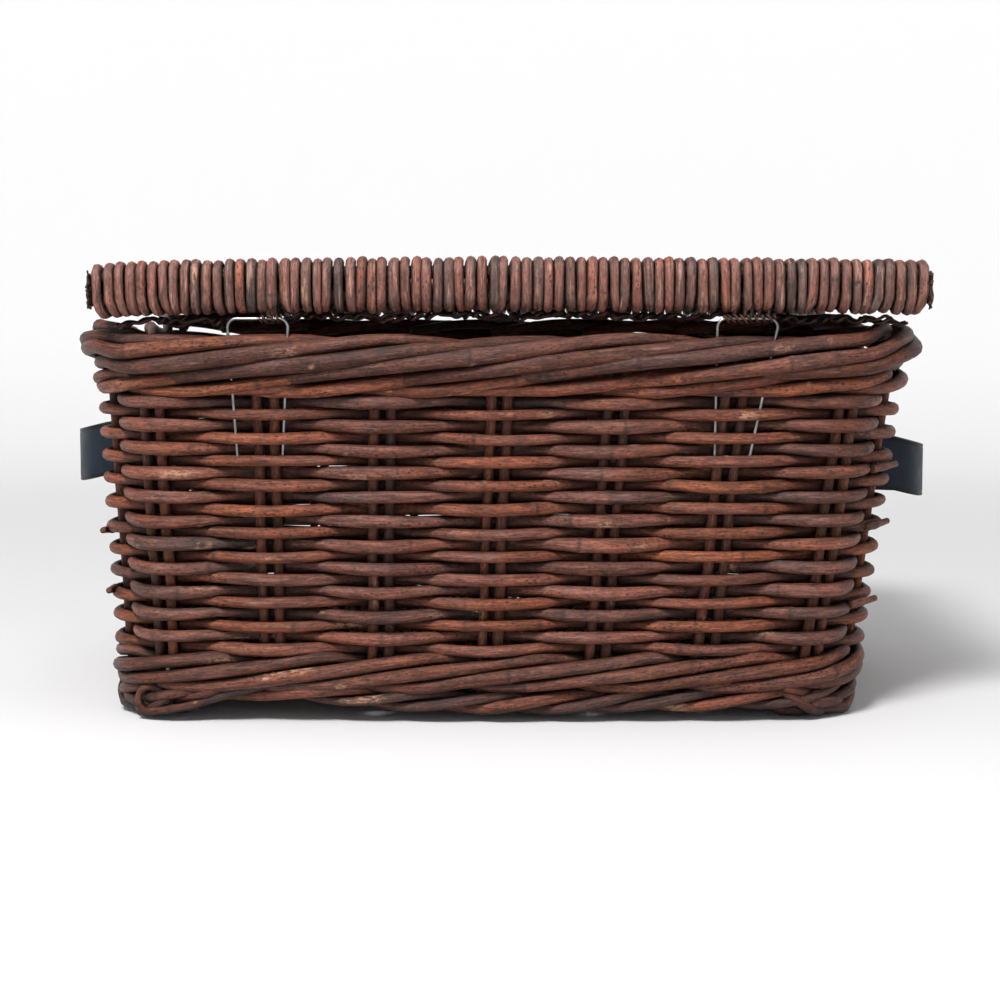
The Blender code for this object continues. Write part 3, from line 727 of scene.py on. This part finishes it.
def twig_ends():
    """Cut ends of rods that stick out a little at the end walls."""
    bundle = Bundle()
    right = LONG_SIDE + 0.024
    for s, z, tone in ((right, 0.1545, 0.5), (right + 0.004, 0.1180, 0.4), (right - 0.002, 0.0700, 0.6),
                       (AROUND - 0.020, 0.0760, 0.3), (AROUND - 0.026, 0.1130, 0.5)):
        t = np.linspace(0, 1, 14)
        route = wall(s - 0.018 + 0.020 * t, z + 0.0015 * t, 0.0055 + 0.0080 * t ** 1.5)
        bundle.rod(route, (tone, 0.5), 0.0024, sides=8, step=0.002, every=0.012, bump=0.25, taper=0.3)
    bundle.build("twig_ends", "basket", BARK, "willow_weave", "side_weave_left", "side_weave_right")


# ---- base

def centre(name):
    """Middle, in Y and Z, of a CAD node that lies along X."""
    low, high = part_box(name)
    return (low.y + high.y) / 2, (low.z + high.z) / 2


def base():
    """A mat of thin rods from front to back, woven over and under the base sticks."""
    low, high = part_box("base_weave")
    middle = (low.z + high.z) / 2
    names = [f"base_stick_{i + 1}" for i in range(BASE_STICKS)]
    stick_y = [centre(name)[0] for name in names]
    sticks = Bundle()
    for y in stick_y:
        x = np.linspace(low.x + 0.006, high.x - 0.006, 60)
        route = np.stack([x, y + waver(x, 0.0006, 0.2), np.full_like(x, middle)], axis=1)
        sticks.rod(route, colours(0.5, 0.1, 0.35, 0.08, 0.0), BASE_STICK_RADIUS, every=0.09)
    sticks.build("base_frame_sticks", "basket", DARK_BARK, "stripped_stick", *names)
    mat = Bundle()
    columns = int((high.x - low.x - 0.012) / MAT_PITCH)
    supports = [low.y + 0.003] + stick_y + [high.y - 0.003]
    for column in range(columns):
        x = low.x + 0.008 + column * MAT_PITCH
        corner = max(0.0, (abs(x) - high.x + MAT_CORNER_X) / MAT_CORNER_X)
        inset = MAT_CORNER_Y * (1 - math.sqrt(max(0.0, 1 - corner ** 2)))
        y = np.linspace(supports[0] + inset, supports[-1] - inset, 150)
        sign = -1 if column % 2 else 1
        heights = [0.0] + [sign * (1 if i % 2 else -1) * MAT_SWING for i in range(BASE_STICKS)] + [0.0]
        z = middle + eased(y, supports, heights)
        route = np.stack([x + waver(y, 0.0004, 0.2), y, z], axis=1)
        mat.rod(route, colours(0.5, 0.15, 0.45, 0.14, 0.08), MAT_RADIUS, up=LENGTHWISE, sides=8, step=0.007)
    mat.build("base_mat", "basket", BARK, "willow_weave", "base_weave")


def eased(at, places, heights):
    """Heights between supports, with a level crossing over each support."""
    at = np.asarray(at)
    index = np.clip(np.searchsorted(places, at, side="right") - 1, 0, len(places) - 2)
    places, heights = np.array(places), np.array(heights)
    t = np.clip((at - places[index]) / (places[index + 1] - places[index]), 0, 1)
    ease = (1 - np.cos(math.pi * t)) / 2
    return heights[index] + (heights[index + 1] - heights[index]) * ease


# ---- lid

def lid_sticks():
    """Centres in Y and Z of the edge sticks and the ribs, from their CAD nodes."""
    edges = {side: (centre(f"lid_{side}_stick_lower"), centre(f"lid_{side}_stick_upper"))
             for side in ("near", "far")}
    return edges, [centre(f"lid_rib_{i + 1}") for i in range(4)]


EDGES, RIBS = lid_sticks()
LID_MIDDLE = (LID[0].z + LID[1].z) / 2


def lid_drop(x):
    """The lid sags slightly towards its ends, a little more at the left."""
    share = (x - LID_X) / LID_HALF
    return -LID_DROOP * np.abs(share) ** 2.2 * np.where(share < 0, 1.25, 0.6)


def over_mat(x, start, end, rod, near_on_top):
    """One run across the lid, over and under the ribs. near_on_top says how it meets the near edge."""
    (near_y, low_z), (_, high_z) = EDGES["near"]
    far_y = EDGES["far"][0][0]
    lift = EDGE_REACH - rod
    top, bottom = high_z + lift - LID_MIDDLE, low_z - lift - LID_MIDDLE
    sign = 1 if near_on_top else -1
    places = [near_y] + [y for y, _ in RIBS] + [far_y]
    ride = 0.0045 + rod
    heights = [top if near_on_top else bottom]
    heights += [sign * (-1 if i % 2 == 0 else 1) * ride for i in range(len(RIBS))]
    heights += [bottom if near_on_top else top]
    y = np.linspace(start, end, 170)
    return np.stack([np.full_like(y, x), y, LID_MIDDLE + eased(y, places, heights)], axis=1)


def round_edge(side, x, rod, downwards, rake=0.0):
    """The turn of a rod round the two sticks of an edge. rake leans the loop's lower half along X."""
    (stick_y, low_z), (_, high_z) = EDGES[side]
    outward = -1 if side == "near" else 1
    reach = EDGE_REACH - rod
    quarter = np.linspace(0, math.pi / 2, 12)
    sine, cosine = reach * np.sin(quarter), reach * np.cos(quarter)
    upper = np.stack([stick_y + outward * sine, high_z + cosine], axis=1)
    lower = np.stack([stick_y + outward * cosine, low_z - sine], axis=1)
    section = np.concatenate([upper, lower])
    t = np.linspace(0, 1, len(section))
    if not downwards:
        section, t = section[::-1], 1 - t
    return np.column_stack([x + rake * smooth(t, 0.35, 1.0), section])


def aside(y, near_y, far_y):
    """Between the edges the two runs of a rod lie side by side, and at the edges they line up."""
    return smooth(y, near_y, near_y + 0.022) * (1 - smooth(y, far_y - 0.022, far_y))


def lid_mat():
    """The lid's loops, gathered into a few meshes."""
    for group in range(LID_GROUPS):
        bundle = Bundle()
        first = group * LID_LOOPS // LID_GROUPS
        for loop in range(first, first + LID_LOOPS // LID_GROUPS):
            lid_loop(bundle, loop)
        bundle.build(f"lid_mat_{group + 1}", "lid", LID_BARK, "willow_lid", "lid_weave")


def lid_loop(bundle, loop):
    """A rod crosses the lid, turns down round the near edge, comes back and turns up at the far edge."""
    pitch = 2 * LID_HALF / LID_LOOPS
    near_y, far_y = EDGES["near"][0][0], EDGES["far"][0][0]
    rod = LID_ROD * between(0.90, 1.07)
    x = LID_X - LID_HALF + (loop + 0.5) * pitch + RANDOM.normal(0, 0.00035)
    share = (x - LID_X) / LID_HALF
    rake = 0.0010 * RANDOM.normal() - 0.0042 * np.sign(share) * abs(share) ** 7
    far_turn = round_edge("far", x, rod, False)
    there = over_mat(x, far_y, near_y, rod, True)
    there[:, 0] -= pitch / 4 * aside(there[:, 1], near_y, far_y)
    near_turn = round_edge("near", x, rod, True, rake)
    back = over_mat(x, near_y, far_y, rod, False)
    back[:, 0] += pitch / 4 * aside(back[:, 1], near_y, far_y)
    back[:, 0] += rake * (1 - smooth(back[:, 1], near_y, near_y + 0.05))
    route = np.concatenate([far_turn, there[1:-1], near_turn, back[1:]])
    route[:, 2] += lid_drop(route[:, 0]) + float(np.clip(RANDOM.normal(0, 0.0004), -0.0009, 0.0004))
    route[:, 0] += waver(np.linspace(0, 0.8, len(route)), 0.0003, 0.3)
    bundle.rod(route, colours(0.24, 0.06, 0.55, 0.09, 0.05), rod, up=LENGTHWISE, sides=9, step=0.0055,
               every=0.11, bump=0.13)


def lid_frame():
    """The sticks inside the lid's edges and the ribs between them."""
    sticks, ribs = Bundle(), Bundle()
    reach = LID_HALF - 0.0012
    x = LID_X + np.linspace(-reach, reach, 80)
    for side in ("near", "far"):
        for y, z in EDGES[side]:
            route = np.stack([x, np.full_like(x, y), z + lid_drop(x)], axis=1)
            sticks.rod(route, (0.4, 0.5), EDGE_STICK_RADIUS, every=0.12)
    for y, z in RIBS:
        route = np.stack([x, y + waver(x, 0.0005, 0.3), z + lid_drop(x)], axis=1)
        ribs.rod(route, colours(0.5, 0.1, 0.35, 0.08, 0.0), RIB_RADIUS, every=0.10)
    names = [f"lid_{side}_stick_{level}" for side in ("near", "far") for level in ("lower", "upper")]
    sticks.build("lid_edge_sticks", "lid", DARK_BARK, "stripped_stick", *names)
    ribs.build("lid_ribs", "lid", DARK_BARK, "stripped_stick", *[f"lid_rib_{i + 1}" for i in range(4)])


def lid_lacing_painted_shade():
    """Thin dark rods laced along the underside of the near edge hang a little below it, unevenly. They stand
    for the lid's underside, and their near-black tone is painted shade for the shadowed gap between the lid
    and the rim.
    """
    bundle = Bundle()
    reach = LID_HALF - 0.012
    bottom = EDGES["near"][0][1] - EDGE_REACH
    for strand in range(4):
        x = LID_X + np.linspace(-reach, reach, 900)
        turn = 2 * math.pi * x / (0.011 + 0.002 * strand) + waver(x, 2.5, 0.05)
        hang = 0.0013 * (1 + np.sin(turn)) + 0.0010 * np.clip(waver(x, 1.6, 0.06), -0.6, 1.5)
        gathers = np.sin(2 * math.pi * x / 0.083 + 1.1) + 0.8 * np.sin(2 * math.pi * x / 0.034)
        lower = 0.0010 + 0.0016 * smooth(gathers, -0.9, 0.3) + 0.0016 * smooth(np.abs(x), 0.15, 0.19)
        z = bottom + 0.0012 - hang - lower + lid_drop(x)
        y = EDGES["near"][0][0] + 0.004 + 0.0030 * strand + 0.0022 * np.cos(turn)
        route = np.stack([x + 0.0015 * np.cos(turn * 0.37), y, z], axis=1)
        # Near-black: painted shade under the lid's near edge
        bundle.rod(route, (0.05, 0.3), 0.0011, sides=6, step=0.0018, every=0.03)
    bundle.build("lid_lacing_painted_shade", "lid", DARK_BARK, "willow_lid", "lid_weave")


def end_bars():
    """Thin dark rods close each end of the lid, with slivers of bark standing off them. Their near-black
    tone is painted shade for the ends of the lid, which face away from the light.
    """
    for name, sign in (("left", -1), ("right", 1)):
        low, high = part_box(f"lid_end_bar_{name}")
        bundle = Bundle()
        drop = float(lid_drop(np.array([LID_X + sign * LID_HALF]))[0])
        x = (low.x + high.x) / 2 - sign * 0.0004
        # The near-black tones of these rods and slivers are painted shade
        for level in (0.0040, 0.0075, 0.0110, 0.0145, 0.0180):
            y = np.linspace(low.y + between(0.004, 0.012), high.y - between(0.004, 0.012), 120)
            route = np.stack([x + waver(y, 0.0003, 0.1), y,
                              low.z + level + drop + waver(y, 0.0006, 0.12)], axis=1)
            bundle.rod(route, (0.12, 0.3), 0.0017, every=0.05, bump=0.2)
        for step in range(3):
            z = np.linspace(low.z + drop + 0.002, high.z + drop - 0.003, 40)
            y = low.y + 0.0022 + 0.0030 * step + waver(z, 0.0006, 0.02)
            route = np.stack([x + sign * waver(z, 0.0004, 0.012), y, z], axis=1)
            bundle.rod(route, (0.08, 0.3), 0.0015, up=DEPTHWISE, sides=8, step=0.0016, every=0.006, bump=0.3)
        slivers(bundle, low, high, x, drop, sign)
        bundle.build(f"lid_end_{name}", "lid", DARK_BARK, "stripped_stick", f"lid_end_bar_{name}")


def slivers(bundle, low, high, middle, drop, sign):
    """Thin slivers at one end of the lid, most of them near the hinge side."""
    t = np.linspace(0, 1, 12)
    for _ in range(110):
        y = low.y + 0.001 + (high.y - low.y - 0.004) * between(0, 1) ** 2.6
        z = between(low.z + 0.001, high.z - 0.003) + drop
        slant = between(-0.005, 0.005)
        x = middle + sign * (between(0.0004, 0.0024) * np.sin(t * math.pi * 0.6) - 0.0008)
        route = np.stack([x, y + between(-0.004, 0.004) * t, z + slant * t], axis=1)
        bundle.rod(route, (0.06, 0.25), between(0.0004, 0.0009), up=np.array([1.0, 0.2, 0]),
                   sides=6, step=0.002, every=1.0)


# ---- hinges

def hinge_axis():
    """A point on the lid's axis, which runs along the bars of the staples."""
    joint = next(j for j in frame["joints"] if j["name"] == "lid_hinge")
    return np.array(joint["pos_m"], float)


AXIS = hinge_axis()


def hinge_wires():
    """A steel staple: a straight bar with two legs pushed down through the border and the weave."""
    turn = np.linspace(0, math.pi / 2, 14)
    half = STAPLE_HALF - WIRE_RADIUS
    foot_y = AXIS[1] + LEAN * 0.084
    for name in ("left", "right"):
        foot_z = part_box(f"hinge_wire_{name}")[0].z + 0.001
        lashed_low, lashed_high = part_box(f"hinge_lashing_{name}")
        mid = (lashed_low.x + lashed_high.x) / 2
        inset_left, inset_right = STAPLE_INSET[name]
        left = np.stack([mid - half + WIRE_CORNER * (1 - np.cos(turn)), np.full(14, AXIS[1]),
                         AXIS[2] - WIRE_CORNER + WIRE_CORNER * np.sin(turn)], axis=1)
        right = left[::-1] * [-1, 1, 1] + [2 * mid, 0, 0]
        foot_left = np.array([[mid - half + inset_left, foot_y, foot_z]])
        foot_right = np.array([[mid + half - inset_right, foot_y, foot_z]])
        bundle = Bundle()
        bundle.rod(np.concatenate([foot_left, left, right, foot_right]), (0.5, 0.5), WIRE_RADIUS,
                   up=DEPTHWISE, sides=12, step=0.0012, every=9.0, bump=0, rough=0.004)
        bundle.build(f"wire_staple_{name}", "basket", STEEL, "steel_wire", f"hinge_wire_{name}")


def hinge_lashings():
    """A dark twig is wound loosely round the lid's lower near stick and along the bar of each staple."""
    stick_y, stick_z = EDGES["near"][0]
    for name, middle, spread in (("left", 0.0082, 0.0030), ("right", 0.0015, 0.0115)):
        low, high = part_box(f"hinge_lashing_{name}")
        mid = (low.x + high.x) / 2 + middle
        bundle = Bundle()
        t = np.linspace(0, LASHING_TURNS, LASHING_TURNS * 40)
        angle = 2 * math.pi * t + 0.5 * np.sin(2 * math.pi * t * 0.4)
        height = (stick_z - AXIS[2]) / 2 + 0.0040
        z = (stick_z + AXIS[2]) / 2 + 0.0016 + height * np.cos(angle)
        y = (stick_y + AXIS[1]) / 2 + 0.0012 + 0.0034 * np.sin(angle)
        x = mid + spread * (2 * t / LASHING_TURNS - 1) + 0.0009 * np.sin(angle * 0.5 + 1)
        x = x + waver(t, 0.0008, 1.7)
        bundle.rod(np.stack([x, y, z], axis=1), (0.10, 0.4), 0.0011, up=LENGTHWISE, sides=8, step=0.0015,
                   every=0.012, bump=0.25)
        for strand in range(2):
            along = np.linspace(-spread - 0.004, spread + 0.003, 160)
            twist = 2 * math.pi * (along / 0.0075 + strand / 2) + waver(along, 0.8, 0.01)
            reach = 0.0021 + waver(along, 0.0004, 0.008)
            route = np.stack([mid + along, AXIS[1] + reach * np.cos(twist),
                              AXIS[2] + reach * np.sin(twist)], axis=1)
            bundle.rod(route, (0.22, 0.5), 0.0008, sides=7, step=0.0012, every=0.008, bump=0.3)
        bundle.build(f"lashing_{name}", "lid", DARK_BARK, "lashing", f"hinge_lashing_{name}")


# ---- strap handles

def strap_outline(name):
    """Middle line of a strap in plan: out round the hand, in through the wall and back inside."""
    low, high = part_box(f"handle_{name}")
    inside = min(abs(low.x), abs(high.x)) + STRAP_THICKNESS / 2
    reach = max(abs(low.x), abs(high.x)) - STRAP_THICKNESS / 2 - 0.0006
    span = high.y - STRAP_THICKNESS / 2
    wall_x = HALF_LENGTH + 0.0105 + LEAN * (low.z + high.z + 0.01) / 2 + 0.004
    turn = np.linspace(-math.pi / 2, math.pi / 2, 60)
    hand = np.stack([wall_x + (reach - wall_x) * np.sign(np.cos(turn)) * np.abs(np.cos(turn)) ** 0.85,
                     span * np.sin(turn)], axis=1)
    corner = 0.005
    bend = np.linspace(0, math.pi / 2, 8)
    first = np.stack([inside + corner * (1 - np.sin(bend)), span - corner * (1 - np.cos(bend))], axis=1)
    back = np.stack([np.full(20, inside), np.linspace(span - corner, corner - span, 20)], axis=1)
    second = first[::-1] * [1, -1]
    return np.concatenate([hand, first, back[1:-1], second[:-1]]), wall_x


def strap_section():
    """Round the strap's section: height, distance from its middle line, and how dark it is."""
    across = (-0.5, -0.49, -0.455, -0.43, -0.40, -0.2, 0.0, 0.2, 0.40, 0.43, 0.455, 0.49, 0.5)
    swell = (0.35, 0.85, 1.0, 0.78, 0.98, 1.0, 1.0, 1.0, 0.98, 0.78, 1.0, 0.85, 0.35)
    edge = (1.0, 1.0, 0.75, 0.5, 0.0, 0.0, 0.0, 0.0, 0.0, 0.5, 0.75, 1.0, 1.0)
    half = STRAP_THICKNESS / 2
    outer = [(z * STRAP_WIDTH, half * s, e) for z, s, e in zip(across, swell, edge)]
    inner = [(z * STRAP_WIDTH, -half * s, e) for z, s, e in zip(across[::-1], swell[::-1], edge[::-1])]
    return outer + inner


def straps():
    """A flat leather band with rounded, darker edges and a groove beside each edge."""
    section = strap_section()
    for name, sign in (("left", -1), ("right", 1)):
        line, wall_x = strap_outline(name)
        along = np.roll(line, -1, axis=0) - np.roll(line, 1, axis=0)
        along /= np.linalg.norm(along, axis=1)[:, None]
        normal = np.stack([along[:, 1], -along[:, 0]], axis=1)
        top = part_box(f"handle_{name}")[1].z - STRAP_WIDTH / 2 - 0.0003
        droop = STRAP_DROOP * np.clip(line[:, 0] - wall_x + 0.004, 0, None)
        rings = []
        for height, offset, _ in section:
            sag = 0.0012 * np.sin(line[:, 1] * 40 + height * 60)
            xy = line + normal * (offset + 0.25 * sag)[:, None]
            rings.append(np.column_stack([sign * xy[:, 0], xy[:, 1], top + height - droop]))
        points = np.stack(rings, axis=1)
        count, sides = points.shape[:2]
        i = np.arange(count)[:, None]
        j = np.arange(sides)[None, :]
        i2, j2 = (i + 1) % count, (j + 1) % sides
        quads = np.stack([i * sides + j, i2 * sides + j, i2 * sides + j2, i * sides + j2], axis=-1)
        quads = quads.reshape(-1, 4) if sign > 0 else quads.reshape(-1, 4)[:, ::-1]
        mesh = smooth_mesh(f"strap_{name}", points.reshape(-1, 3).tolist(), quads.tolist())
        layer = mesh.attributes.new("edge", "FLOAT", "POINT")
        layer.data.foreach_set("value", np.tile([e for _, _, e in section], count).astype(np.float32))
        mesh.materials.append(LEATHER)
        place(mesh, "basket", "strap_leather", f"handle_{name}")


# ---- studio

def pale_floor():
    """A round floor that sweeps up into a low wall, and glows a little far from the basket."""
    flat, bend, top, segments = 1.9, 1.2, 1.7, 96
    profile = [(0.02, 0.0), (0.6, 0.0), (1.2, 0.0)]
    sweep = np.linspace(0, math.pi / 2, 16)
    profile += [(flat + bend * math.sin(a), bend * (1 - math.cos(a))) for a in sweep]
    profile += [(flat + bend, top)]
    turns = [2 * math.pi * i / segments for i in range(segments)]
    points = [(r * math.sin(a), r * math.cos(a), z) for r, z in profile for a in turns]
    faces = [tuple(range(segments))[::-1]]
    for ring in range(len(profile) - 1):
        for i in range(segments):
            first, after = ring * segments + i, ring * segments + (i + 1) % segments
            faces.append((first, after, after + segments, first + segments))
    floor = smooth_mesh("floor", points, faces)
    ground = bpy.data.objects.new("floor", floor)
    bpy.context.scene.collection.objects.link(ground)
    paint = Shader("pale_floor")
    place_on = paint.add("ShaderNodeTexCoord").outputs["Object"]
    distance = paint.add("ShaderNodeVectorMath", {0: place_on}, operation="LENGTH").outputs["Value"]
    glow = paint.spread(distance, 0.5, 2.6, 0.0, 0.42)
    paint.links.new(glow, paint.surface.inputs["Emission Strength"])
    paint.surface.inputs["Emission Color"].default_value = (1, 0.99, 1, 1)
    paint.finish((0.60, 0.596, 0.60, 1), 0.85)
    floor.materials.append(paint.material)


def studio():
    """A pale floor, soft light from the upper left, and a dim surround."""
    pale_floor()
    world = bpy.data.worlds.new("surround")
    bpy.context.scene.world = world
    world.use_nodes = True
    background = world.node_tree.nodes["Background"]
    background.inputs["Color"].default_value = (1.0, 0.995, 0.99, 1)
    background.inputs["Strength"].default_value = 0.30
    lamp("key", (-0.6, -1.45, 2.0), (0, -0.1, 0.12), 0.6, 79)
    lamp("top", (0.2, -0.4, 2.2), (0, 0, 0.1), 1.6, 14)
    bpy.context.scene.view_settings.view_transform = "Standard"


def lamp(name, where, target, size, energy):
    """A square area light at a place, turned towards a target."""
    data = bpy.data.lights.new(name, "AREA")
    data.size = size
    data.energy = energy
    light = bpy.data.objects.new(name, data)
    light.location = where
    light.rotation_euler = (Vector(target) - Vector(where)).to_track_quat("-Z", "Y").to_euler()
    bpy.context.scene.collection.objects.link(light)


def camera():
    """Looks at the hinge side, nearly level."""
    data = bpy.data.cameras.new("camera")
    data.sensor_width = 36
    data.lens = 65
    eye = bpy.data.objects.new("camera", data)
    eye.location = (-0.0012, -1.245, 0.2415)
    eye.rotation_euler = (math.radians(90 - 5.44), 0, 0)
    bpy.context.scene.collection.objects.link(eye)
    bpy.context.scene.camera = eye


camera()
studio()
stake_pairs()
weaver_rows()
wale("top_wale_rods", "top_wale", 3, TOP_WALE_Z, TOP_WALE_RISE, 0.0040, 0.62, 0.60)
wale("bottom_wale_rods", "bottom_wale", 4, BOTTOM_WALE_Z, BOTTOM_WALE_RISE, 0.0041, 0.48, 0.30)
rim_border()
foot_border()
foot_knots()
twig_ends()
base()
lid_mat()
lid_frame()
lid_lacing_painted_shade()
end_bars()
hinge_wires()
hinge_lashings()
straps()
